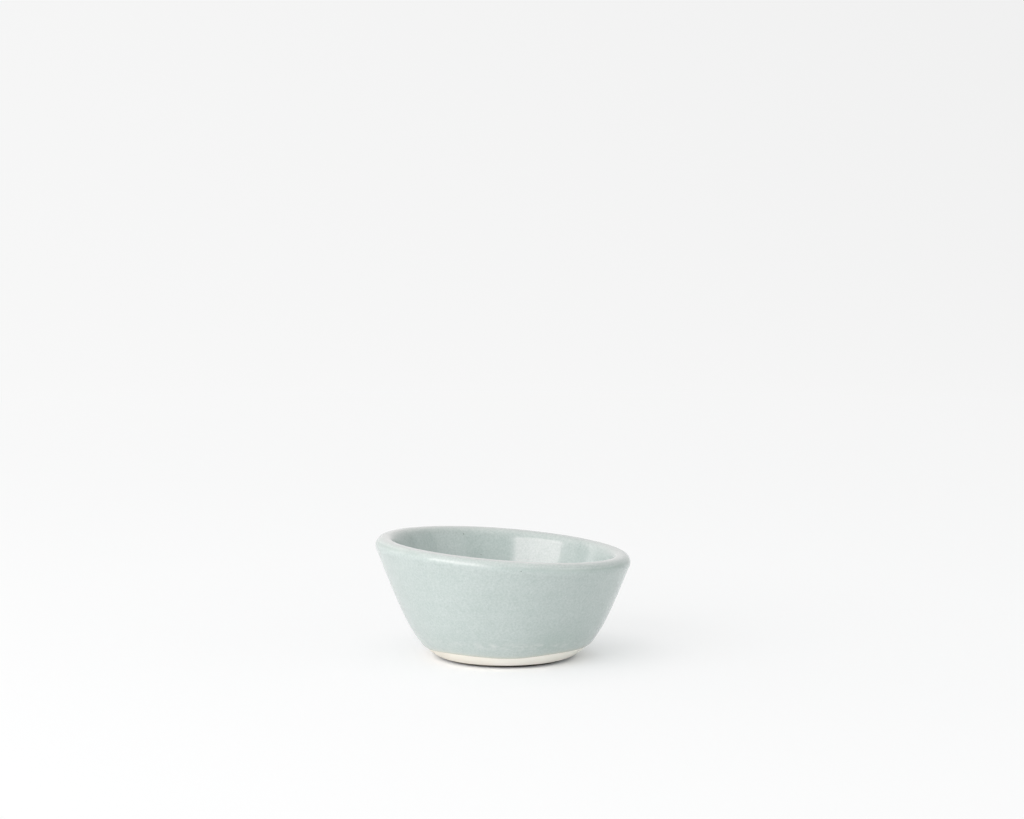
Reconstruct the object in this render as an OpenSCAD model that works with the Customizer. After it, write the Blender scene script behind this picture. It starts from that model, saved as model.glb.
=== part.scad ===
// Small hand-thrown prep bowl: a stoneware body under a poured inside glaze and a dipped outside glaze.
// Millimetres, Z up, origin on the table at the centre of the foot.
// The rim was left as the clay came off the wheel: it leans, high on one side and low on the other.

/* [Bowl] */
// Width across the outside of the glazed lip
rim_d = 101.3; // [84:0.1:130]
// Height of the rim above the table where the lip is widest, at the centre of the bowl
rim_h = 41.3; // [32:0.1:60]
// Slope of the upper wall, in degrees from upright
wall_angle = 18.9; // [10:0.1:24]
// Thickness of the clay wall at the rim, measured level
wall_t = 6.8; // [4:0.1:8]

/* [Lip] */
// Radius of the round on the lip's outer edge, in the clay
lip_round = 3; // [1.4:0.1:3.6]
// How far the lip's rounds stand out of the wall
lip_bead = 0.12; // [0.1:0.01:0.3]
// Lean of the rim, in degrees from level
rim_tilt = 4.2; // [0:0.1:6]
// Turn of the rim's lowest point, in degrees from the right-hand side
rim_low_turn = 13; // [0:1:359]

/* [Foot] */
// Width of the foot at its lower edge
foot_d = 53.4; // [46:0.1:64]
// Height of the foot's lower edge above the table
foot_lift = 1.1; // [0.5:0.1:2]
// Level width of the bevel trimmed under the foot's edge
foot_bevel_w = 3.2; // [0.6:0.1:5]
// Height over which the base rounds into the wall
base_round_h = 6.7; // [4:0.1:9]

/* [Inside] */
// Thickness of the clay floor
floor_t = 6.5; // [4.5:0.1:9]
// Width of the flat of the inside floor
floor_d = 40; // [24:0.5:44]
// Height over which the floor rounds into the wall
floor_round_h = 2.5; // [1.5:0.1:6]

/* [Glaze] */
// Thickness of each glaze coat
glaze_t = 0.4; // [0.2:0.05:0.6]
// Height of the line where the outside glaze ends
glaze_line_h = 5.5; // [3.5:0.1:14]

/* [Hidden] */
$fn = 180;

clay_colour = "#F0EADC";
inside_colour = "#B3C4BF";
outside_colour = "#C2D1CD";

// Points along each wall curve, set closer together near the foot
curve_steps = 26;
curve_spacing_power = 1.8;
// What every cut runs past the clay
overrun = wall_t;

foot_r = foot_d / 2;
contact_r = foot_r - foot_bevel_w;
floor_r = floor_d / 2;
wall_slope = tan(wall_angle);

// The lip has a flat top between two rounds, whose middles lie on a line square to the wall
wall_across = wall_t * cos(wall_angle);
outer_round_r = min(lip_round, wall_across / 2);
round_gap = (wall_across - 2 * (outer_round_r - lip_bead)) / (1 - sin(wall_angle));
inner_round_r = outer_round_r - round_gap * sin(wall_angle);

// The outer round's middle, out from the middle of the wall
outer_round_x = wall_t / 2 - (outer_round_r - lip_bead) / cos(wall_angle);
rim_mid_r = rim_d / 2 - glaze_t - outer_round_r - outer_round_x;
wall_top_z = rim_h + (rim_d / 2) * tan(rim_tilt) + wall_t;
base_flare = flare(rim_mid_r + wall_t / 2 - foot_r, rim_h - foot_lift, base_round_h);
floor_flare = flare(rim_mid_r - wall_t / 2 - floor_r, rim_h - floor_t, floor_round_h);

// Where the leaning rim meets the middle of the wall on its high side and on its low side
high_r = rim_meet(1);
low_r = rim_meet(-1);
ring_r = (high_r + low_r) / 2 / cos(rim_tilt);
ring_shift = (high_r - low_r) / 2 / cos(rim_tilt);

// A thrown wall: a straight slope, with a round at its base that spreads it by the flare
function thrown_r(start_r, rise, spread, round_h) =
    start_r + wall_slope * rise + spread * rise / (rise + round_h);
function flare(reach, rise, round_h) = (reach - wall_slope * rise) * (rise + round_h) / rise;
function outside_r(z) = thrown_r(foot_r, z - foot_lift, base_flare, base_round_h);
function inside_r(z) = thrown_r(floor_r, z - floor_t, floor_flare, floor_round_h);
function middle_r(z) = (outside_r(z) + inside_r(z)) / 2;

function rim_meet(side, r = rim_mid_r, rounds = 6) =
    rounds == 0 ? r : rim_meet(side, middle_r(rim_h + side * r * tan(rim_tilt)), rounds - 1);

function curve_z(start_z, i) = start_z + (wall_top_z - start_z) * pow(i / curve_steps, curve_spacing_power);
function outside_curve() = [for (i = [0:curve_steps]) let (z = curve_z(foot_lift, i)) [outside_r(z), z]];
function inside_curve() = [for (i = [0:curve_steps]) let (z = curve_z(floor_t, i)) [inside_r(z), z]];
function middle_curve() = [for (i = [0:curve_steps]) let (z = curve_z(floor_t, i)) [middle_r(z), z]];
function reversed(points) = [for (i = [len(points) - 1:-1:0]) points[i]];

// A curve moved square to itself, to the right of the way it runs
function moved(points, by) = [
    for (i = [0:len(points) - 1])
        let (
            before = points[max(i - 1, 0)],
            after = points[min(i + 1, len(points) - 1)],
            along = after - before
        )
        points[i] + by * [along.y, -along.x] / norm(along)
];

// Half the bowl in section, with every face moved out by the growth
function bowl_section(grow) = concat(
    [[0, -grow], [contact_r, -grow]],
    moved(outside_curve(), grow),
    reversed(moved(inside_curve(), -grow)),
    [[0, floor_t + grow]]
);

// Half the space on the inner side of the wall's middle
function inner_section() = concat(
    [[0, floor_t / 2], [middle_r(floor_t), floor_t / 2]],
    middle_curve(),
    [[0, wall_top_z]]
);

// Places its children at the centre of the lip's ring, on the leaning rim's own plane
module on_ring() {
    rotate([0, 0, rim_low_turn])
        translate([0, 0, rim_h])
            rotate([0, rim_tilt, 0])
                translate([-ring_shift, 0, 0])
                    children();
}

// Everything above a cone that cuts the wall off square through the middles of the lip's rounds
module above_rim() {
    cut_r = ring_r + outer_round_x;
    cut_drop = cut_r * wall_slope;
    on_ring()
        rotate_extrude()
            polygon([[0, cut_drop], [2 * cut_r, -cut_drop], [2 * cut_r, wall_top_z], [0, wall_top_z]]);
}

// The lip: an outer and an inner round, and the flat top between them, rooted in the wall
module lip_ring(grow) {
    outer = [ring_r + outer_round_x, 0];
    inner = outer + round_gap * [-cos(wall_angle), sin(wall_angle)];
    root = inner_round_r / 2 * [sin(wall_angle), cos(wall_angle)];
    top = [0, outer_round_r + grow];
    on_ring()
        rotate_extrude() {
            translate(outer) circle(r = outer_round_r + grow);
            translate(inner) circle(r = inner_round_r + grow);
            polygon([outer - root, outer, outer + top, [inner.x, top.y], inner, inner - root]);
        }
}

// The bowl as thrown, with every face moved out by the growth
module thrown_bowl(grow) {
    difference() {
        rotate_extrude() polygon(bowl_section(grow));
        above_rim();
    }
    lip_ring(grow);
}

// The inner side of the wall's middle, and above the rim the inner side of the lip's crest
module inner_side() {
    difference() {
        rotate_extrude() polygon(inner_section());
        above_rim();
    }
    on_ring()
        translate([0, 0, -inner_round_r])
            cylinder(r = ring_r, h = inner_round_r + outer_round_r + overrun);
}

module below_glaze_line() {
    translate([0, 0, -overrun])
        cylinder(r = rim_d, h = overrun + glaze_line_h);
}

// Both glaze coats together, also under the foot
module full_coat() {
    difference() {
        thrown_bowl(glaze_t);
        thrown_bowl(0);
    }
}

module clay_body() {
    color(clay_colour) thrown_bowl(0);
}

module inside_glaze() {
    color(inside_colour) intersection() {
        full_coat();
        inner_side();
    }
}

module outside_glaze() {
    color(outside_colour) difference() {
        full_coat();
        inner_side();
        below_glaze_line();
    }
}

clay_body();
inside_glaze();
outside_glaze();
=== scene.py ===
"""Prep bowl: a small hand-thrown stoneware bowl under a pale celadon glaze, on a white studio sweep.

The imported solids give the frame. The clay body and the two glaze coats are thrown again here as finer meshes
of the same form, with the marks that the wheel, the fingers and the trimming tool leave, and each one takes
its node's place. Lengths are in metres, Z is up, and the origin is on the table at the centre of the foot.
"""

import math

import bpy
import numpy as np
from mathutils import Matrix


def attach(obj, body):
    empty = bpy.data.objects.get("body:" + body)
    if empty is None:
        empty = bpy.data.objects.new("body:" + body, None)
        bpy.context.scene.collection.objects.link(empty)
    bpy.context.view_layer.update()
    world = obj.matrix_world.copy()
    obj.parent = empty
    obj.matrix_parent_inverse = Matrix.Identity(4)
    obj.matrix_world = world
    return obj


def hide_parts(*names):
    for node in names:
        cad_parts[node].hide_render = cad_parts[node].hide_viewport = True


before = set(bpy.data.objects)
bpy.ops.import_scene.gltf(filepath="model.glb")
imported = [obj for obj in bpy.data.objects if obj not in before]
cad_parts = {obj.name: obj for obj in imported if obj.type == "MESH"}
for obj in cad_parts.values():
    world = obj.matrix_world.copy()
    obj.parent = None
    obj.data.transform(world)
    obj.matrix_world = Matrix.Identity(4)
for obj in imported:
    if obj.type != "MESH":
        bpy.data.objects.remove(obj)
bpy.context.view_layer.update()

MM = 0.001

# The thrown form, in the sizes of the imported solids
RIM_D = 101.3 * MM
RIM_H = 41.3 * MM
WALL_ANGLE = math.radians(18.9)
WALL_T = 6.8 * MM
LIP_ROUND = 3 * MM
LIP_BEAD = 0.12 * MM
RIM_LEAN = math.tan(math.radians(4.2))
RIM_LOW_TURN = math.radians(13)
FOOT_D = 53.4 * MM
FOOT_LIFT = 1.1 * MM
FOOT_BEVEL_W = 3.2 * MM
BASE_ROUND_H = 6.7 * MM
FLOOR_T = 6.5 * MM
FLOOR_D = 40 * MM
FLOOR_ROUND_H = 2.5 * MM
GLAZE_T = 0.4 * MM
GLAZE_LINE_H = 5.5 * MM

# The soft clay of the foot settled as the bowl dried: its edge went out and down, and its flat grew wider
FOOT_SPREAD = 0.5 * MM
FOOT_SETTLE = 0.15 * MM
CONTACT_SPREAD = 1.3 * MM
FOOT_EDGE_H = FOOT_LIFT - FOOT_SETTLE
FOOT_R = FOOT_D / 2 + FOOT_SPREAD
FLOOR_R = FLOOR_D / 2
CONTACT_R = FOOT_D / 2 - FOOT_BEVEL_W + CONTACT_SPREAD
WALL_SLOPE = math.tan(WALL_ANGLE)

# The lip's outer edge was pressed a little tighter on the right-hand side,
# and tighter still on the front left, where the lip kept its height
ROUND_EASE = 0.26 * MM
FRONT_EASE = 0.85 * MM
FRONT_EASE_TURN = 237
FRONT_EASE_W = 0.6
# The rim is not quite flat: it stands a little higher at the back left
RIM_WAVES = ((1, 0.2 * MM, 120), (2, 0.08 * MM, 85), (3, 0.05 * MM, 135))
# The foot was trimmed a little off the axis
FOOT_OFF = -0.4 * MM
FOOT_OFF_H = 8 * MM

# How far the corners of the section are rubbed round: at the lip, on its inner side
# and where the floor turns up
LIP_SOFT = 0.5 * MM
INNER_SOFT = 1.6 * MM
INNER_SOFT_AT = 4.2 * MM
INNER_SOFT_W = 2.2 * MM
FLOOR_SOFT = 2.2 * MM
FLOOR_TURN_W = 5 * MM

# Faces round the bowl, and even steps along its skin from the foot's edge over the lip to the floor's middle
TURNS = 320
SKIN_STEPS = 760
# How often the meeting of the wall and the leaning rim is worked out again
MEETING_ROUNDS = 6
turns = np.arange(TURNS) * 2 * math.pi / TURNS


def drift(turn, *waves):
    """A slow wander round the bowl, as waves of (how many in a turn, size, where one peaks in degrees)."""
    return sum(size * np.cos(count * (turn - math.radians(peak))) for count, size, peak in waves)


def hump(distance, width):
    """A soft bump: 1 in the middle, falling off over the width."""
    return np.exp(-((distance / width) ** 2))


# The wall and the lip in section


def lip_rounds(outer):
    """The lip's flat top lies between two rounds, whose middles are on a line square to the wall.

    For the outer round's radius, gives the inner one's, how far the outer middle lies out from the wall's
    middle, and the gap between the two middles.
    """
    in_wall = outer - LIP_BEAD
    gap = (WALL_T * math.cos(WALL_ANGLE) - 2 * in_wall) / (1 - math.sin(WALL_ANGLE))
    out = WALL_T / 2 - in_wall / math.cos(WALL_ANGLE)
    return outer - gap * math.sin(WALL_ANGLE), out, gap


def flare(reach, rise, round_h):
    """The spread that brings a wall out to its reach."""
    return (reach - WALL_SLOPE * rise) * (rise + round_h) / rise


RIM_MID_R = RIM_D / 2 - GLAZE_T - LIP_ROUND - lip_rounds(LIP_ROUND)[1]
BASE_FLARE = flare(RIM_MID_R + WALL_T / 2 - FOOT_R, RIM_H - FOOT_EDGE_H, BASE_ROUND_H)
FLOOR_FLARE = flare(RIM_MID_R - WALL_T / 2 - FLOOR_R, RIM_H - FLOOR_T, FLOOR_ROUND_H)


def thrown_r(start_r, rise, spread, round_h):
    """A thrown wall: a straight slope, with a round at its base that spreads it."""
    return start_r + WALL_SLOPE * rise + spread * rise / (rise + round_h)


def outside_r(z):
    """How far out the clay's outside lies at a height."""
    return thrown_r(FOOT_R, z - FOOT_EDGE_H, BASE_FLARE, BASE_ROUND_H)


def inside_r(z):
    """How far out the clay's inside lies at a height."""
    return thrown_r(FLOOR_R, z - FLOOR_T, FLOOR_FLARE, FLOOR_ROUND_H)


def around(turn, degrees):
    """How far a turn is from a place round the bowl."""
    return np.angle(np.exp(1j * (turn - math.radians(degrees))))


def front_ease(turn):
    """How much tighter the lip's outer round is on the front left."""
    return FRONT_EASE * hump(around(turn, FRONT_EASE_TURN), FRONT_EASE_W)


def lip_middle(turn):
    """Where the middle of the wall meets the leaning rim, as (r, z)."""
    r = RIM_MID_R
    for _ in range(MEETING_ROUNDS):
        lean = RIM_LEAN * r * math.cos(turn - RIM_LOW_TURN)
        z = RIM_H + drift(turn, *RIM_WAVES) + front_ease(turn) - lean
        r = (outside_r(z) + inside_r(z)) / 2
    return np.array([r, z])


def heading(direction):
    """The angle of a direction in the section, from 0 up to a full turn."""
    return math.atan2(direction[1], direction[0]) % (2 * math.pi)


def arc(middle, radius, first, last):
    """Points on a round from one angle to another."""
    angle = np.linspace(first, last, SKIN_STEPS)[:, None]
    return middle + radius * np.hstack([np.cos(angle), np.sin(angle)])


def below_lip(from_middle, up_wall, radius):
    """Which points of a wall lie below the middle of a lip's round and outside that round."""
    return (from_middle @ up_wall < 0) & (np.linalg.norm(from_middle, axis=1) > radius)


def clay_column(turn):
    """One column of the clay's skin, and the place along it where the lip's flat top has its middle.

    The column is even steps of (r, z) up the outside, over the lip and down to the floor's middle.
    """
    middle = lip_middle(turn)
    outer_round = LIP_ROUND - ROUND_EASE * ((1 + math.cos(turn)) / 2) ** 3 - front_ease(turn)
    inner_round, round_out, round_gap = lip_rounds(outer_round)
    out = np.array([1, -RIM_LEAN * math.cos(turn - RIM_LOW_TURN)])
    out /= np.linalg.norm(out)
    up = np.array([-out[1], out[0]])
    up_wall = math.cos(WALL_ANGLE) * up + math.sin(WALL_ANGLE) * out
    out_wall = math.cos(WALL_ANGLE) * out - math.sin(WALL_ANGLE) * up
    outer = middle + round_out * out
    inner = outer - round_gap * out_wall
    wall_z = np.linspace(FOOT_EDGE_H, middle[1] + WALL_T, SKIN_STEPS)
    outside = np.stack([outside_r(wall_z), wall_z], axis=1)
    outside = outside[below_lip(outside - outer, up_wall, outer_round)]
    wall_z = np.linspace(middle[1] + WALL_T, FLOOR_T, SKIN_STEPS)
    inside = np.stack([inside_r(wall_z), wall_z], axis=1)
    inside = inside[below_lip(inside - inner, up_wall, inner_round)]
    first = heading(outside[-1] - outer) - 2 * math.pi
    outer_arc = arc(outer, outer_round, first, heading(up))
    inner_arc = arc(inner, inner_round, heading(up), heading(inside[0] - inner))
    line = np.concatenate([outside, outer_arc, inner_arc, inside, [[0, FLOOR_T]]])
    walked = np.concatenate([[0], np.cumsum(np.linalg.norm(np.diff(line, axis=0), axis=1))])
    outer_end = len(outside) + len(outer_arc)
    seam = (walked[outer_end - 1] + walked[outer_end]) / 2
    even = np.linspace(0, walked[-1], SKIN_STEPS + 1)
    points = np.stack([np.interp(even, walked, line[:, 0]), np.interp(even, walked, line[:, 1])], axis=1)
    return points, seam / even[1]


def rubbed(skin, softness, passes=240):
    """The skin with its corners rubbed round, each place over its own softness."""
    step = np.linalg.norm(skin[:, 1] - skin[:, 0], axis=1)
    share = (softness[:, 1:-1] / step[:, None]) ** 2 / (2 * passes)
    for _ in range(passes):
        bend = skin[:, 2:] - 2 * skin[:, 1:-1] + skin[:, :-2]
        skin[:, 1:-1] += share[..., None] * bend
    return skin


def outward(skin):
    """The direction square to the skin at each place, away from the clay."""
    along = np.gradient(skin, axis=1)
    square = np.stack([along[..., 1], -along[..., 0]], axis=-1)
    return square / np.linalg.norm(square, axis=-1, keepdims=True)


columns = [clay_column(turn) for turn in turns]
skin = np.array([points for points, seam in columns])
crest = np.array([seam for points, seam in columns])
steps_in = np.arange(SKIN_STEPS + 1)[None, :] - crest[:, None]
is_inside = steps_in > 0
step = np.linalg.norm(np.diff(skin, axis=1), axis=-1).mean(axis=1)[:, None]
softness = LIP_SOFT + (INNER_SOFT - LIP_SOFT) * hump(steps_in * step - INNER_SOFT_AT, INNER_SOFT_W)
softness += (FLOOR_SOFT - LIP_SOFT) * np.where(is_inside, hump(skin[..., 0] - FLOOR_R, FLOOR_TURN_W), 0)
skin = rubbed(skin, softness)
step = np.linalg.norm(np.diff(skin, axis=1), axis=-1).mean(axis=1)[:, None]
from_crest = steps_in * step

# Marks of the wheel

# Finger ridges climb the inside as a spiral, and fade out under the lip
RIDGE_PITCH = 4.6 * MM
RIDGE_DEEP = 0.012 * MM
RIDGE_FADE = 9 * MM
RIDGE_SHARE = 0.7
RIDGE_SHARE_WAVES = ((1, 0.2, 70), (3, 0.15, 10))
RIDGE_PATH_WAVES = ((2, 0.5, 40), (3, 0.4, 100))
# The outside was smoothed with a rib, which left fainter lines
RIB_PITCH = 6.3 * MM
RIB_DEEP = 0.008 * MM
RIB_PATH_WAVES = ((2, 0.8, 10), (5, 0.3, 60))
# The trimming tool left a groove low on the outside, deeper in some places than in others
TRIM_H = 10.2 * MM
TRIM_W = 1.3 * MM
TRIM_DEEP = 0.06 * MM
TRIM_SHARE = 0.55
TRIM_SHARE_WAVES = ((2, 0.3, 300), (5, 0.15, 280))
TRIM_H_WAVES = ((1, 0.5 * MM, 200), (3, 0.3 * MM, 20))
# Its streaks show through the glaze most at the front
STREAK_TURN = 274
STREAK_TURN_W = 0.45
STREAK_FADE = 0.55
# The sponge that pressed the lip left a faint line round its outside
SPONGE_DOWN = 3.85 * MM
SPONGE_W = 0.75 * MM
SPONGE_DEEP = 0.22 * MM
SPONGE_SHARE = 0.6
SPONGE_SHARE_WAVE = (3, 0.4, 315)
SPONGE_DOWN_WAVE = (2, 0.35 * MM, 295)


def trimmed():
    """How close each place is to the band that the trimming tool ran along."""
    turn = turns[:, None]
    return hump(skin[..., 1] - TRIM_H - drift(turn, *TRIM_H_WAVES), TRIM_W)


def wheel_marks():
    """How far fingers, rib, sponge and trimming tool moved each place of the skin outwards."""
    turn = turns[:, None]
    z = skin[..., 1]
    under_lip = 1 - np.exp(-((from_crest / RIDGE_FADE) ** 4))
    spiral = 2 * math.pi * from_crest / RIDGE_PITCH + turn + drift(turn, *RIDGE_PATH_WAVES)
    ridges = RIDGE_DEEP * np.sin(spiral) * (RIDGE_SHARE + drift(turn, *RIDGE_SHARE_WAVES))
    rib_path = 2 * math.pi * z / RIB_PITCH + turn + drift(turn, *RIB_PATH_WAVES)
    ribs = RIB_DEEP * np.sin(rib_path)
    groove = -TRIM_DEEP * trimmed() * (TRIM_SHARE + drift(turn, *TRIM_SHARE_WAVES))
    below_line = -from_crest - SPONGE_DOWN - drift(turn, SPONGE_DOWN_WAVE)
    line = -SPONGE_DEEP * hump(below_line, SPONGE_W) * (SPONGE_SHARE + drift(turn, SPONGE_SHARE_WAVE))
    return np.where(is_inside, under_lip * ridges, under_lip * (ribs + groove) + line)


square = outward(skin)
marks = wheel_marks()
clay = skin + marks[..., None] * square
square = outward(clay)

# The glaze coats

# The outside glaze ends in a soft wave that rises on the right, with a rolled edge
LINE_DIP = 0.2 * MM
LINE_WAVES = ((5, 0.42 * MM, 235), (2, 0.12 * MM, 290), (9, 0.05 * MM, 100))
LINE_RISE = 0.75 * MM
LINE_RISE_TURN = -20
LINE_RISE_W = 0.42
ROLLED_EDGE_W = 0.9 * MM
EDGE_BITE = 0.03 * MM
# Glaze runs thin over the lip's outer edge and at its own lower edge, and pools in the hollows of the marks.
# The lip's top is painted pale:
# partly the glaze breaking pale there, partly painted light and a painted highlight that reach onto the outer
# edge, strongest on the front left
OUTER_EDGE_AT = -3.6 * MM
OUTER_EDGE_W = 1.2 * MM
OUTER_EDGE_THIN = 0.25
LIP_TOP_AT = 0.4 * MM
LIP_TOP_W = 2.9 * MM
LIP_TOP_SHARE = 0.7
LIP_TOP_SHARE_WAVE = (1, 0.25, 235)
EDGE_THIN_W = 1.1 * MM
EDGE_TINT_W = 0.65 * MM
POOL_DEEP = 0.2 * MM
# A run of thicker glaze low on the right: where it lies in degrees and how high, how far it spreads,
# and how much it pools
RUN_TURN = -57
RUN_TURN_W = 0.32
RUN_H = 12.5 * MM
RUN_HIGH = 6 * MM
RUN_THICK = 0.4
# Rings of a coat from its lower edge to the crest, and from the crest to the floor's middle,
# as stretches of (how far along it ends, how many rings)
OUTSIDE_RING_SHARES = ((0.1, 26), (0.8, 50), (0.995, 54), (1, 2))
INSIDE_RING_SHARES = ((0.0006, 1), (0.13, 46), (0.68, 62), (0.985, 26))
# A coat's hidden back has one ring for so many of its front
BACK_EVERY = 6

line_h = GLAZE_LINE_H - LINE_DIP + drift(turns, *LINE_WAVES)
line_h += LINE_RISE * hump(around(turns, LINE_RISE_TURN), LINE_RISE_W)


def line_steps():
    """How many steps up each column the glaze line lies."""
    steps = []
    for column, top, height in zip(clay, crest.astype(int), line_h):
        steps.append(np.interp(height, column[:top, 1], np.arange(top)))
    return np.array(steps)


line_place = line_steps()


def picked(grid, place):
    """Values of a grid of columns at fractional steps along each column."""
    below = np.clip(np.floor(place).astype(int), 0, SKIN_STEPS - 1)
    share = (place - below).reshape(place.shape + (1,) * (grid.ndim - 2))
    column = np.arange(TURNS)[:, None]
    return grid[column, below] * (1 - share) + grid[column, below + 1] * share


def shares(*stretches):
    """Places from 0 to 1, as stretches of (end, how many places)."""
    places, start = [np.zeros(1)], 0
    for end, count in stretches:
        places.append(np.linspace(start, end, count + 1)[1:])
        start = end
    return np.concatenate(places)


def turned(flat):
    """Columns of (r, z) as rows of points in space, with the foot off the axis."""
    r, z = flat[..., 0].T, flat[..., 1].T
    off = FOOT_OFF * (1 + np.cos(math.pi * np.clip(z / FOOT_OFF_H, 0, 1))) / 2
    return np.stack([r * np.cos(turns) + off, r * np.sin(turns), z], axis=-1)


def coat_thickness(above_line):
    """Glaze thickness at a height of skin above the glaze line: a rolled edge, then an even coat."""
    roll = np.clip(1 - above_line / ROLLED_EDGE_W, 0, 1)
    return GLAZE_T * np.sqrt(1 - roll**2) - EDGE_BITE * roll


def ring_mesh(name, rows, first_pole=None, last_pole=None, closed=False, sharp_rows=(), **tints):
    """A mesh of rings of points. A pole closes an end in a fan; a closed mesh joins its two ends."""
    count = len(rows)
    points = rows.reshape(-1, 3)
    ring = np.arange(TURNS)
    after = (ring + 1) % TURNS
    faces = []
    for j in range(count if closed else count - 1):
        low, high = j * TURNS, (j + 1) % count * TURNS
        faces += np.stack([low + ring, low + after, high + after, high + ring], axis=1).tolist()
    if first_pole is not None:
        points = np.vstack([points, first_pole])
        faces += [(len(points) - 1, int(b), int(a)) for a, b in zip(ring, after)]
    if last_pole is not None:
        points = np.vstack([points, last_pole])
        start = (count - 1) * TURNS
        faces += [(int(start + a), int(start + b), len(points) - 1) for a, b in zip(ring, after)]
    mesh = bpy.data.meshes.new(name)
    mesh.from_pydata(points.tolist(), [], faces)
    mesh.shade_smooth()
    ends = np.empty(len(mesh.edges) * 2, dtype=np.int32)
    mesh.edges.foreach_get("vertices", ends)
    row = ends.reshape(-1, 2) // TURNS
    sharp = (row[:, 0] == row[:, 1]) & np.isin(row[:, 0], [r % count for r in sharp_rows])
    mesh.attributes.new("sharp_edge", "BOOLEAN", "EDGE").data.foreach_set("value", sharp)
    for tint, values in tints.items():
        whole = np.zeros(len(points), dtype=np.float32)
        whole[: values.size] = values.ravel()
        mesh.attributes.new(tint, "FLOAT", "POINT").data.foreach_set("value", whole)
    mesh.validate()
    piece = bpy.data.objects.new(name, mesh)
    bpy.context.scene.collection.objects.link(piece)
    return piece


def coat_tints(place):
    """How thin and how pooled the glaze is, and how pale the lip's top is.

    It is thin over the outer edge and the ridges. The lip's top is pale, partly as glaze breaking there and
    partly as painted light and painted highlight.
    """
    down = picked(from_crest, place)
    risen = picked(marks, place) / POOL_DEEP
    thin = OUTER_EDGE_THIN * hump(down - OUTER_EDGE_AT, OUTER_EDGE_W) + np.clip(risen, 0, 1)
    # The pale top is partly painted light and painted highlight, strongest on the front left where the window
    # light falls
    shown = LIP_TOP_SHARE + drift(turns, LIP_TOP_SHARE_WAVE)
    broken = hump(down - LIP_TOP_AT, LIP_TOP_W) * shown[:, None]
    return thin, np.clip(-risen, 0, 1), broken


def thick_run(place):
    """A run of thicker glaze, low on the outside."""
    spread = hump(around(turns, RUN_TURN), RUN_TURN_W)[:, None]
    return RUN_THICK * spread * hump(picked(skin[..., 1], place) - RUN_H, RUN_HIGH)


def outside_coat():
    """The outside glaze: from its rolled edge up to the crest of the lip, and back along the clay."""
    share = shares(*OUTSIDE_RING_SHARES)
    place = line_place[:, None] + share[None, :] * (crest - line_place)[:, None]
    above_line = (place - line_place[:, None]) * step
    front = picked(clay, place) + coat_thickness(above_line)[..., None] * picked(square, place)
    back_place = place[:, ::-BACK_EVERY]
    back = picked(clay, back_place) - EDGE_BITE * picked(square, back_place)
    thin, pooled, broken = coat_tints(place)
    thin += np.exp(-above_line / EDGE_THIN_W)
    pooled += thick_run(place)
    shown = 1 - STREAK_FADE + STREAK_FADE * hump(around(turns, STREAK_TURN), STREAK_TURN_W)
    streaked = picked(trimmed(), place) * shown[:, None]
    tint = np.exp(-above_line / EDGE_TINT_W)
    rows = np.concatenate([turned(front), turned(back)])
    pad = np.zeros((back.shape[1], TURNS))
    return ring_mesh(
        "outside_glaze_coat", rows, closed=True, sharp_rows=(0, len(share) - 1, len(share), -1),
        thin=np.vstack([thin.T, pad]), pooled=np.vstack([pooled.T, pad]), broken=np.vstack([broken.T, pad]),
        rolled_edge=np.vstack([tint.T, pad]), streaked=np.vstack([streaked.T, pad]),
    )


def inside_coat():
    """The inside glaze: along the clay from the floor's middle to the crest, and back down its own face."""
    share = shares(*INSIDE_RING_SHARES)
    place = crest[:, None] + share[None, :] * (SKIN_STEPS - crest)[:, None]
    front = picked(clay, place) + GLAZE_T * picked(square, place)
    back_place = place[:, ::-BACK_EVERY]
    back = picked(clay, back_place) - EDGE_BITE * picked(square, back_place)
    thin, pooled, broken = coat_tints(place)
    rows = np.concatenate([turned(back), turned(front)])
    pad = np.zeros((back.shape[1], TURNS))
    floor_z = clay[:, -1, 1].mean()
    seam = back.shape[1]
    return ring_mesh(
        "inside_glaze_coat", rows, sharp_rows=(seam - 1, seam),
        first_pole=(0, 0, floor_z - EDGE_BITE), last_pole=(0, 0, floor_z + GLAZE_T),
        thin=np.vstack([pad, thin.T]), pooled=np.vstack([pad, pooled.T]), broken=np.vstack([pad, broken.T]),
    )


# Rings of the clay: of the base, whose first one lies close to the middle, of the bevel,
# from the foot's edge to the crest, and on to the floor's middle
BASE_RINGS = 24
FIRST_RING_SHARE = 0.12
BEVEL_RINGS = 6
OUTER_RING_SHARES = ((0.2, 50), (0.8, 14), (1, 14))
INNER_RING_SHARES = ((0.15, 14), (0.97, 26))
# Painted shade: the foot's lower edge, its bevel and the base are painted near black for the contact shadow
# under the foot, most at the front right;
# and the clay on the left of the foot is painted darker, as painted shade against the stronger light there
BASE_PAINTED_SHADE = 0.85
BASE_PAINTED_SHADE_WAVE = (1, 0.15, 310)
EDGE_PAINTED_SHADE = 0.45
EDGE_PAINTED_SHADE_WAVE = (1, 0.35, 310)
LEFT_PAINTED_SHADE_WAVE = (1, 1.3, 190)
LEFT_PAINTED_SHADE_FROM = 0.25


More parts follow.
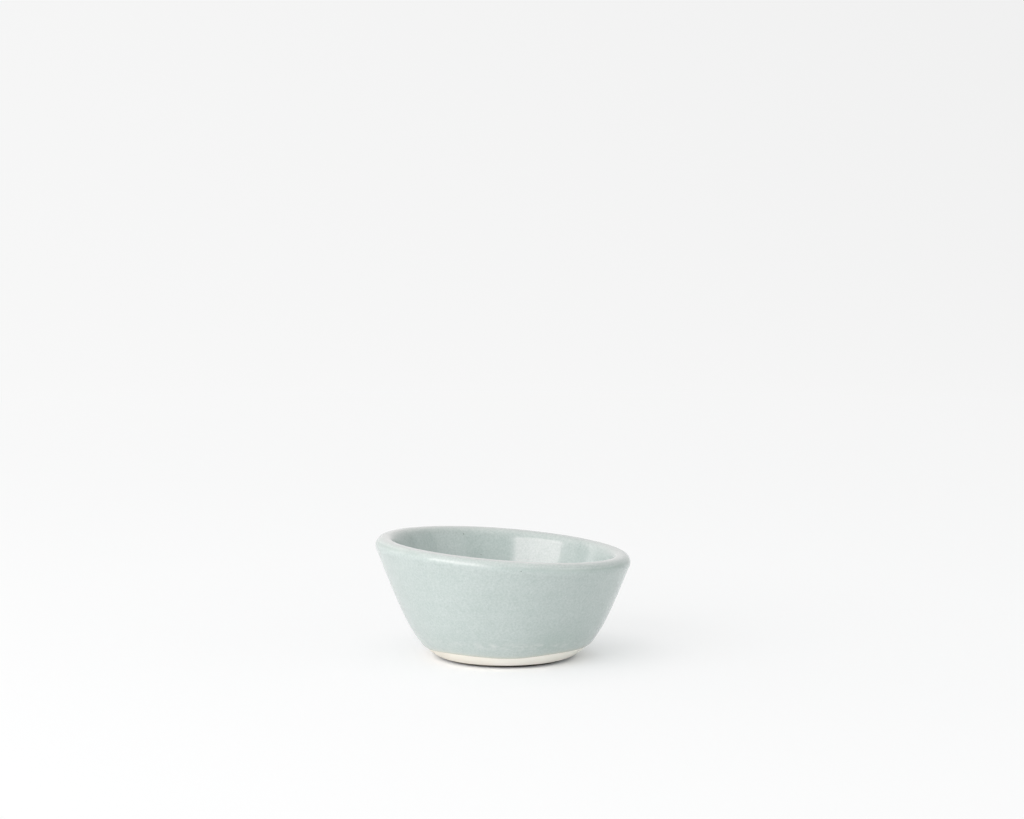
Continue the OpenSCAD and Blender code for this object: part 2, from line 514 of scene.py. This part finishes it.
def clay_piece():
    """The clay body: base, bevel and bare foot in fine rings, the clay under the glaze in coarser ones."""
    base_r = np.linspace(FIRST_RING_SHARE, 1, BASE_RINGS) * CONTACT_R
    base = np.stack([np.tile(base_r, (TURNS, 1)), np.zeros((TURNS, len(base_r)))], axis=-1)
    bevel_share = np.linspace(0, 1, BEVEL_RINGS + 2)[1:-1]
    bevel_r = CONTACT_R + bevel_share * (FOOT_R - CONTACT_R)
    bevel_z = bevel_share * FOOT_EDGE_H
    bevel = np.stack([np.tile(bevel_r, (TURNS, 1)), np.tile(bevel_z, (TURNS, 1))], axis=-1)
    outer_place = shares(*OUTER_RING_SHARES)[None, :] * crest[:, None]
    inner_share = shares(*INNER_RING_SHARES)[1:]
    inner_place = crest[:, None] + inner_share[None, :] * (SKIN_STEPS - crest)[:, None]
    flat = np.concatenate([base, bevel, picked(clay, outer_place), picked(clay, inner_place)], axis=1)
    edge = base.shape[1] + bevel.shape[1]
    # Painted shade: the base, the bevel and the lowest rows of the bare foot are painted dark for the contact
    # shadow, most at the front right
    toasted = np.zeros((flat.shape[1], TURNS))
    toasted[: edge + 2] = BASE_PAINTED_SHADE + drift(turns, BASE_PAINTED_SHADE_WAVE)
    toasted[edge + 2] = EDGE_PAINTED_SHADE + drift(turns, EDGE_PAINTED_SHADE_WAVE)
    # Painted shade on the left of the foot, where the light is stronger
    flashed = np.clip(drift(turns, LEFT_PAINTED_SHADE_WAVE) - LEFT_PAINTED_SHADE_FROM, 0, 1)
    flashed = np.tile(flashed, (flat.shape[1], 1))
    return ring_mesh(
        "stoneware_body", turned(flat), first_pole=(0, 0, 0), last_pole=(0, 0, clay[:, -1, 1].mean()),
        sharp_rows=(len(base_r) - 1,), toasted=toasted, flashed=flashed,
    )


stoneware_body = clay_piece()
outside_glaze_coat = outside_coat()
inside_glaze_coat = inside_coat()

# Finishes


def link(tree, source, target):
    """Joins a socket to a target, or sets the target to a plain value."""
    if isinstance(source, bpy.types.NodeSocket):
        tree.links.new(source, target)
    else:
        target.default_value = source


def blended(tree, share, low, high):
    """A colour between two colours."""
    mix = tree.nodes.new("ShaderNodeMix")
    mix.data_type = "RGBA"
    for source, target in zip((share, low, high), (mix.inputs[0], mix.inputs[6], mix.inputs[7])):
        link(tree, source, target)
    return mix.outputs[2]


def worked(tree, operation, *values):
    """The outcome of a sum."""
    sum_node = tree.nodes.new("ShaderNodeMath")
    sum_node.operation = operation
    for source, target in zip(values, sum_node.inputs):
        link(tree, source, target)
    return sum_node.outputs[0]


def moved(tree, operation, place, by):
    """A place stretched or shifted by a plain vector."""
    made = tree.nodes.new("ShaderNodeVectorMath")
    made.operation = operation
    link(tree, place, made.inputs[0])
    made.inputs[1].default_value = by
    return made.outputs["Vector"]


def noise(tree, place, scale, detail=2.0, roughness=0.5):
    """A cloudy value from 0 to 1, with the scale in clouds per metre."""
    made = tree.nodes.new("ShaderNodeTexNoise")
    made.inputs["Detail"].default_value = detail
    made.inputs["Roughness"].default_value = roughness
    link(tree, scale, made.inputs["Scale"])
    link(tree, place, made.inputs["Vector"])
    return made.outputs["Fac"]


def ranged(tree, value, low, high, to_low, to_high):
    """A value carried from one range over to another."""
    made = tree.nodes.new("ShaderNodeMapRange")
    for name, number in (("From Min", low), ("From Max", high), ("To Min", to_low), ("To Max", to_high)):
        made.inputs[name].default_value = number
    link(tree, value, made.inputs["Value"])
    return made.outputs["Result"]


def colour(red, green, blue):
    """A solid colour."""
    return (red, green, blue, 1)


def new_group(name, inputs, outputs):
    """An empty node group, with its input and output nodes."""
    group = bpy.data.node_groups.new(name, "ShaderNodeTree")
    for socket, kind in inputs:
        group.interface.new_socket(socket, in_out="INPUT", socket_type="NodeSocket" + kind)
    for socket, kind in outputs:
        group.interface.new_socket(socket, in_out="OUTPUT", socket_type="NodeSocket" + kind)
    return group, group.nodes.new("NodeGroupInput").outputs, group.nodes.new("NodeGroupOutput").inputs


def iron_speck_group():
    """Small iron specks that burnt through: a mask of scattered dots. The size is in metres."""
    group, given, out = new_group(
        "iron specks",
        (("Place", "Vector"), ("Specks per metre", "Float"), ("Size", "Float"), ("Share left out", "Float")),
        (("Mask", "Float"),),
    )
    cells = group.nodes.new("ShaderNodeTexVoronoi")
    link(group, given["Place"], cells.inputs["Vector"])
    link(group, given["Specks per metre"], cells.inputs["Scale"])
    pick = group.nodes.new("ShaderNodeSeparateColor")
    link(group, cells.outputs["Color"], pick.inputs["Color"])
    kept = worked(group, "GREATER_THAN", pick.outputs["Red"], given["Share left out"])
    reach = worked(group, "MULTIPLY", given["Size"], given["Specks per metre"])
    nearness = worked(group, "SUBTRACT", 1.0, worked(group, "DIVIDE", cells.outputs["Distance"], reach))
    dot = ranged(group, nearness, 0.0, 0.5, 0.0, 1.0)
    link(group, worked(group, "MULTIPLY", dot, kept), out["Mask"])
    return group


def fired_grain_group():
    """The fine broken grain of fired clay and glaze: a value from dark to light, and a height."""
    group, given, out = new_group(
        "fired grain",
        (
            ("Place", "Vector"), ("Grains per metre", "Float"), ("Clouds per metre", "Float"),
            ("Cloud share", "Float"),
        ),
        (("Tone", "Float"), ("Height", "Float")),
    )
    fine = noise(group, given["Place"], given["Grains per metre"], detail=3.0, roughness=0.65)
    cloud = noise(group, given["Place"], given["Clouds per metre"])
    mix = group.nodes.new("ShaderNodeMix")
    link(group, given["Cloud share"], mix.inputs[0])
    link(group, fine, mix.inputs[2])
    link(group, cloud, mix.inputs[3])
    link(group, mix.outputs[0], out["Tone"])
    link(group, fine, out["Height"])
    return group


iron_specks = iron_speck_group()
fired_grain = fired_grain_group()


def grouped(tree, group, place, **values):
    """The outputs of a node group, used with these values."""
    made = tree.nodes.new("ShaderNodeGroup")
    made.node_tree = group
    link(tree, place, made.inputs["Place"])
    for name, value in values.items():
        made.inputs[name.replace("_", " ")].default_value = value
    return made.outputs


def tint_of(tree, name):
    """A tint that the mesh carries."""
    made = tree.nodes.new("ShaderNodeAttribute")
    made.attribute_name = name
    return made.outputs["Fac"]


def bumped(tree, shader, height, strength, distance):
    """Gives a finish the fine relief of a height."""
    bump = tree.nodes.new("ShaderNodeBump")
    bump.inputs["Strength"].default_value = strength
    bump.inputs["Distance"].default_value = distance
    link(tree, height, bump.inputs["Height"])
    link(tree, bump.outputs["Normal"], shader.inputs["Normal"])


# The glaze: its colours, how much of each shows, how strongly it mirrors and with what tint,
# and how rough it is from its glossier places to its duller ones
GLAZE_DARK = colour(0.428, 0.499, 0.475)
GLAZE_LIGHT = colour(0.566, 0.624, 0.604)
GLAZE_POOLED = colour(0.36, 0.45, 0.41)
GLAZE_THIN = colour(0.68, 0.70, 0.68)
# Partly painted light: a pale colour for the lip's top, for the glaze breaking there and for painted light and
# painted highlight
GLAZE_BREAK_AND_PAINTED_LIGHT = colour(0.89, 0.85, 0.83)
GLAZE_EDGE = colour(0.62, 0.55, 0.38)
GLAZE_SPECK = colour(0.12, 0.15, 0.13)
POOLED_SHARE = 0.7
THIN_SHARES = (0.25, 0.65)
BREAK_AND_PAINTED_LIGHT_SHARES = (0.45, 0.95)
EDGE_SHARE = 0.8
FINE_SPECK_SHARE = 0.4
LARGE_SPECK_SHARE = 0.75
SPECK_SHARE = 0.8
GLAZE_IOR = 1.58
GLAZE_MIRROR_TINT = colour(1.0, 0.87, 0.90)
GLAZE_ROUGHNESS = (0.1, 0.17)
# The clay: its colours, how much of each shows, how little it mirrors, and how rough it is
CLAY_DARK = colour(0.965, 0.92, 0.84)
CLAY_LIGHT = colour(0.995, 0.97, 0.915)
# Painted shade: a darker clay for the left of the foot, against the stronger light there
CLAY_PAINTED_LEFT_SHADE = colour(0.82, 0.77, 0.68)
CLAY_SPECK = colour(0.35, 0.27, 0.17)
# Painted shade: a near-black for the foot's lower edge and base, where the contact shadow under the foot falls
CLAY_PAINTED_CONTACT_SHADE = colour(0.02, 0.014, 0.006)
PAINTED_LEFT_SHADE_SHARE = 0.85
CLAY_SPECK_SHARE = 0.5
# How much of the painted contact shade shows, from the dark grain to the light
PAINTED_CONTACT_SHADE_SHARES = (1.0, 0.94)
CLAY_MIRROR = 0.15
CLAY_ROUGHNESS = (0.72, 0.9)
# Most of a noise lies within the spread, and nearly all of it within the wider one
NOISE_SPREAD = (0.3, 0.7)
NOISE_WIDE = (0.2, 0.8)

# Three larger specks that show, two inside and one outside: place in millimetres, and size across
LARGE_SPECKS = (((-17.7, 39.8, 42.8), 0.7), ((-10.5, 39.1, 34.3), 0.55), ((5.75, -50.5, 41.8), 0.65))
# The specks lie on walls that face the front or the back, so a speck reaches deeper that way than across
SPECK_SQUEEZE = (1, 0.15, 1)
# The trimming tool's streaks run level: how their noise is squeezed, how fine it is,
# which of its values show, and how much they show
STREAK_SQUEEZE = (0.3, 0.3, 0.8)
STREAKS_PER_METRE = 1000.0
STREAK_NOISE = (0.42, 0.74)
STREAK_SHARES = (0.0, 0.75)
# The glaze is glossier in some places than in others
GLOSS_CLOUDS_PER_METRE = 240.0


def large_speck_mask(tree, place):
    """A mask of the larger specks."""
    mask = 0.0
    squeezed = moved(tree, "MULTIPLY", place, SPECK_SQUEEZE)
    for where, across in LARGE_SPECKS:
        gap = tree.nodes.new("ShaderNodeVectorMath")
        gap.operation = "DISTANCE"
        link(tree, squeezed, gap.inputs[0])
        gap.inputs[1].default_value = [w * squeeze * MM for w, squeeze in zip(where, SPECK_SQUEEZE)]
        dot = ranged(tree, gap.outputs["Value"], across * MM / 2, across * MM / 4, 0.0, 1.0)
        mask = worked(tree, "MAXIMUM", mask, dot)
    return mask


def celadon_glaze():
    """Pale blue-green glaze, satin to glossy and mottled: paler where thin, greener where it pooled, and pale
    on the lip's top, partly as painted light.
    """
    material = bpy.data.materials.new("celadon glaze")
    material.use_nodes = True
    tree = material.node_tree
    shader = tree.nodes["Principled BSDF"]
    place = tree.nodes.new("ShaderNodeTexCoord").outputs["Object"]
    grain = grouped(
        tree, fired_grain, place, Grains_per_metre=1300.0, Clouds_per_metre=90.0, Cloud_share=0.18
    )
    tone = ranged(tree, grain["Tone"], *NOISE_SPREAD, 0.0, 1.0)
    body = blended(tree, tone, GLAZE_DARK, GLAZE_LIGHT)
    pooled = worked(tree, "MULTIPLY", tint_of(tree, "pooled"), POOLED_SHARE)
    body = blended(tree, pooled, body, GLAZE_POOLED)
    level = moved(tree, "MULTIPLY", place, STREAK_SQUEEZE)
    streaks = ranged(tree, noise(tree, level, STREAKS_PER_METRE), *STREAK_NOISE, *STREAK_SHARES)
    thin_grain = ranged(tree, grain["Tone"], *NOISE_WIDE, *THIN_SHARES)
    thin = worked(tree, "MULTIPLY", tint_of(tree, "thin"), thin_grain)
    thin = worked(tree, "MAXIMUM", thin, worked(tree, "MULTIPLY", tint_of(tree, "streaked"), streaks))
    body = blended(tree, thin, body, GLAZE_THIN)
    # The lip's top is painted pale: partly glaze breaking, partly painted light and painted highlight
    broken_grain = ranged(tree, grain["Tone"], *NOISE_WIDE, *BREAK_AND_PAINTED_LIGHT_SHARES)
    broken = worked(tree, "MULTIPLY", tint_of(tree, "broken"), broken_grain)
    body = blended(tree, broken, body, GLAZE_BREAK_AND_PAINTED_LIGHT)
    edge = worked(tree, "MULTIPLY", tint_of(tree, "rolled_edge"), EDGE_SHARE)
    body = blended(tree, edge, body, GLAZE_EDGE)
    dots = grouped(tree, iron_specks, place, Specks_per_metre=170.0, Size=0.22 * MM, Share_left_out=0.86)
    fine_specks = worked(tree, "MULTIPLY", dots["Mask"], FINE_SPECK_SHARE)
    large_specks = worked(tree, "MULTIPLY", large_speck_mask(tree, place), LARGE_SPECK_SHARE)
    specks = worked(tree, "MAXIMUM", fine_specks, large_specks)
    body = blended(tree, worked(tree, "MULTIPLY", specks, SPECK_SHARE), body, GLAZE_SPECK)
    link(tree, body, shader.inputs["Base Color"])
    shader.inputs["IOR"].default_value = GLAZE_IOR
    shader.inputs["Specular Tint"].default_value = GLAZE_MIRROR_TINT
    gloss = ranged(tree, noise(tree, place, GLOSS_CLOUDS_PER_METRE), *NOISE_SPREAD, *GLAZE_ROUGHNESS)
    link(tree, gloss, shader.inputs["Roughness"])
    bumped(tree, shader, grain["Height"], strength=0.06, distance=0.25 * MM)
    return material


def bare_stoneware():
    """Cream stoneware, fired bare: matte and a little sandy, with fine specks, and with painted shade at the
    foot's lower edge and on its left.
    """
    material = bpy.data.materials.new("bare stoneware")
    material.use_nodes = True
    tree = material.node_tree
    shader = tree.nodes["Principled BSDF"]
    place = tree.nodes.new("ShaderNodeTexCoord").outputs["Object"]
    grain = grouped(
        tree, fired_grain, place, Grains_per_metre=1400.0, Clouds_per_metre=160.0, Cloud_share=0.45
    )
    tone = ranged(tree, grain["Tone"], *NOISE_SPREAD, 0.0, 1.0)
    body = blended(tree, tone, CLAY_DARK, CLAY_LIGHT)
    # Painted shade: the left of the foot is darker, against the stronger light there
    flashed = worked(tree, "MULTIPLY", tint_of(tree, "flashed"), PAINTED_LEFT_SHADE_SHARE)
    body = blended(tree, flashed, body, CLAY_PAINTED_LEFT_SHADE)
    dots = grouped(tree, iron_specks, place, Specks_per_metre=300.0, Size=0.2 * MM, Share_left_out=0.8)
    specks = worked(tree, "MULTIPLY", dots["Mask"], CLAY_SPECK_SHARE)
    body = blended(tree, specks, body, CLAY_SPECK)
    # Painted shade: the foot's lower edge and base go near black, for the contact shadow under the foot
    toasted_grain = ranged(tree, grain["Tone"], *NOISE_SPREAD, *PAINTED_CONTACT_SHADE_SHARES)
    toasted = worked(tree, "MULTIPLY", tint_of(tree, "toasted"), toasted_grain)
    body = blended(tree, toasted, body, CLAY_PAINTED_CONTACT_SHADE)
    link(tree, body, shader.inputs["Base Color"])
    shader.inputs["Specular IOR Level"].default_value = CLAY_MIRROR
    sandy = ranged(tree, grain["Height"], *NOISE_SPREAD, *CLAY_ROUGHNESS)
    link(tree, sandy, shader.inputs["Roughness"])
    bumped(tree, shader, grain["Height"], strength=0.25, distance=0.2 * MM)
    return material


glaze = celadon_glaze()
stoneware_body.data.materials.append(bare_stoneware())
outside_glaze_coat.data.materials.append(glaze)
inside_glaze_coat.data.materials.append(glaze)

for piece, cad_node, slot in (
    (stoneware_body, "clay_body", "stoneware"),
    (outside_glaze_coat, "outside_glaze", "outside_glaze"),
    (inside_glaze_coat, "inside_glaze", "inside_glaze"),
):
    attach(piece, "root")
    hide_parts(cad_node)

# Studio

SWEEP_HALF_W = 3.5
SWEEP_FRONT = -3.0
SWEEP_BACK = 1.2
SWEEP_ROUND = 0.9
SWEEP_TOP = 2.6
SWEEP_BEND_STEPS = 32

# How white the paper shows to the camera, as stops of (distance from the shadow's middle, share, tone)
SHADOW_MIDDLE = (0.8 * MM, 0, 0)
WHITE_STOPS = (
    (0.0262, 0.0, 0.985), (0.031, 0.39, 0.985), (0.045, 0.56, 0.985), (0.07, 0.77, 0.985),
    (0.25, 0.85, 0.985), (1.2, 1.0, 0.93), (2.4, 1.0, 0.885),
)
# How much the paper's tone falls off to the right, per metre
TONE_FALL = 0.035
PAPER_COLOUR = (0.95, 0.95, 0.955)


def distance_stops(tree, distance, values):
    """A value that follows the distance from the shadow's middle through the stops."""
    ramp = tree.nodes.new("ShaderNodeValToRGB")
    far = WHITE_STOPS[-1][0]
    stops = ramp.color_ramp.elements
    for i, (stop, value) in enumerate(zip(WHITE_STOPS, values)):
        made = stops[i] if i < len(stops) else stops.new(stop[0] / far)
        made.position = stop[0] / far
        made.color = colour(value, value, value)
    link(tree, worked(tree, "DIVIDE", distance, far), ramp.inputs["Fac"])
    return ramp.outputs["Color"]


def white_paper():
    """Matte white paper that catches the bowl's shadow.

    To the camera and in reflections it is lit up towards white.
    """
    paper = bpy.data.materials.new("white paper")
    paper.use_nodes = True
    tree = paper.node_tree
    shader = tree.nodes["Principled BSDF"]
    shader.inputs["Base Color"].default_value = colour(*PAPER_COLOUR)
    shader.inputs["Roughness"].default_value = 1.0
    shader.inputs["Specular IOR Level"].default_value = 0.0
    reach = tree.nodes.new("ShaderNodeVectorMath")
    reach.operation = "LENGTH"
    place = tree.nodes.new("ShaderNodeTexCoord").outputs["Object"]
    link(tree, moved(tree, "SUBTRACT", place, SHADOW_MIDDLE), reach.inputs[0])
    across = tree.nodes.new("ShaderNodeSeparateXYZ")
    link(tree, place, across.inputs["Vector"])
    share = distance_stops(tree, reach.outputs["Value"], [stop[1] for stop in WHITE_STOPS])
    ray = tree.nodes.new("ShaderNodeLightPath").outputs
    mirrored = worked(tree, "MAXIMUM", ray["Is Glossy Ray"], ray["Is Transmission Ray"])
    seen = worked(tree, "MAXIMUM", ray["Is Camera Ray"], mirrored)
    glow = tree.nodes.new("ShaderNodeEmission")
    tone = distance_stops(tree, reach.outputs["Value"], [stop[2] for stop in WHITE_STOPS])
    fall = worked(tree, "MULTIPLY", across.outputs["X"], TONE_FALL)
    link(tree, worked(tree, "SUBTRACT", tone, fall), glow.inputs["Color"])
    mix = tree.nodes.new("ShaderNodeMixShader")
    link(tree, worked(tree, "MULTIPLY", seen, share), mix.inputs[0])
    link(tree, shader.outputs["BSDF"], mix.inputs[1])
    link(tree, glow.outputs["Emission"], mix.inputs[2])
    link(tree, mix.outputs["Shader"], tree.nodes["Material Output"].inputs["Surface"])
    return paper


def studio_sweep():
    """A white paper sweep: level under the bowl, turning up behind it."""
    bend = np.linspace(0, math.pi / 2, SWEEP_BEND_STEPS + 1)
    side = [(SWEEP_FRONT, 0.0)]
    side += [(SWEEP_BACK + SWEEP_ROUND * math.sin(a), SWEEP_ROUND * (1 - math.cos(a))) for a in bend]
    side += [(SWEEP_BACK + SWEEP_ROUND, SWEEP_TOP)]
    points = [(x, y, z) for y, z in side for x in (-SWEEP_HALF_W, SWEEP_HALF_W)]
    faces = [(2 * i, 2 * i + 1, 2 * i + 3, 2 * i + 2) for i in range(len(side) - 1)]
    mesh = bpy.data.meshes.new("studio_sweep")
    mesh.from_pydata(points, [], faces)
    mesh.shade_smooth()
    sweep = bpy.data.objects.new("studio_sweep", mesh)
    bpy.context.scene.collection.objects.link(sweep)
    mesh.materials.append(white_paper())


# Soft lamps: name, how far left of the camera and how high it stands in degrees, distance, width, height,
# watts, colour
LAMPS = (
    ("window", 41.5, 27, 1.1, 1.0, 0.62, 7.8, (1.0, 0.98, 0.98)),
    ("curtain", 12.5, 27, 1.1, 0.18, 0.62, 0.55, (1.0, 0.98, 0.98)),
    ("high window", 60, 45, 1.3, 1.4, 1.0, 2.8, (1.0, 0.98, 0.98)),
    ("side window", 115, 24, 1.2, 0.26, 0.6, 0.65, (1.0, 0.98, 0.98)),
    ("right-hand wall", -70, 20, 1.2, 0.8, 0.6, 1.6, (0.94, 1.0, 0.98)),
    ("right-hand corner", -105, 12, 1.3, 0.6, 0.5, 0.65, (0.94, 1.0, 0.98)),
)
ROOM_LIGHT = 0.49
ROOM_COLOUR = (0.95, 1.0, 1.0)


def soft_light():
    """The lamps, all turned to the bowl, and the light of the room."""
    for name, left, up, away, wide, high, watts, shade in LAMPS:
        left, up = math.radians(left), math.radians(up)
        lamp = bpy.data.lights.new(name, "AREA")
        lamp.shape = "RECTANGLE"
        lamp.size, lamp.size_y = wide, high
        lamp.energy = watts
        lamp.color = shade
        stand = bpy.data.objects.new(name, lamp)
        level = away * math.cos(up)
        stand.location = (-level * math.sin(left), -level * math.cos(left), away * math.sin(up))
        stand.rotation_euler = (math.pi / 2 - up, 0, -left)
        bpy.context.scene.collection.objects.link(stand)
    world = bpy.data.worlds.new("white room")
    world.use_nodes = True
    background = world.node_tree.nodes["Background"]
    background.inputs["Color"].default_value = colour(*ROOM_COLOUR)
    background.inputs["Strength"].default_value = ROOM_LIGHT
    bpy.context.scene.world = world


# The camera: where it stands, how far it looks down in radians, and its lens
CAMERA_PLACE = (2.31 * MM, -950.94 * MM, 188.73 * MM)
CAMERA_DOWN = 0.09482
LENS_MM = 85
SENSOR_W_MM = 36
NEAREST_SEEN = 50 * MM


def photograph_camera():
    """The camera, as it stood for the photograph."""
    data = bpy.data.cameras.new("camera")
    data.lens = LENS_MM
    data.sensor_width = SENSOR_W_MM
    data.clip_start = NEAREST_SEEN
    camera = bpy.data.objects.new("camera", data)
    camera.location = CAMERA_PLACE
    camera.rotation_euler = (math.pi / 2 - CAMERA_DOWN, 0, 0)
    bpy.context.scene.collection.objects.link(camera)
    bpy.context.scene.camera = camera


studio_sweep()
soft_light()
photograph_camera()
bpy.context.scene.view_settings.view_transform = "Standard"
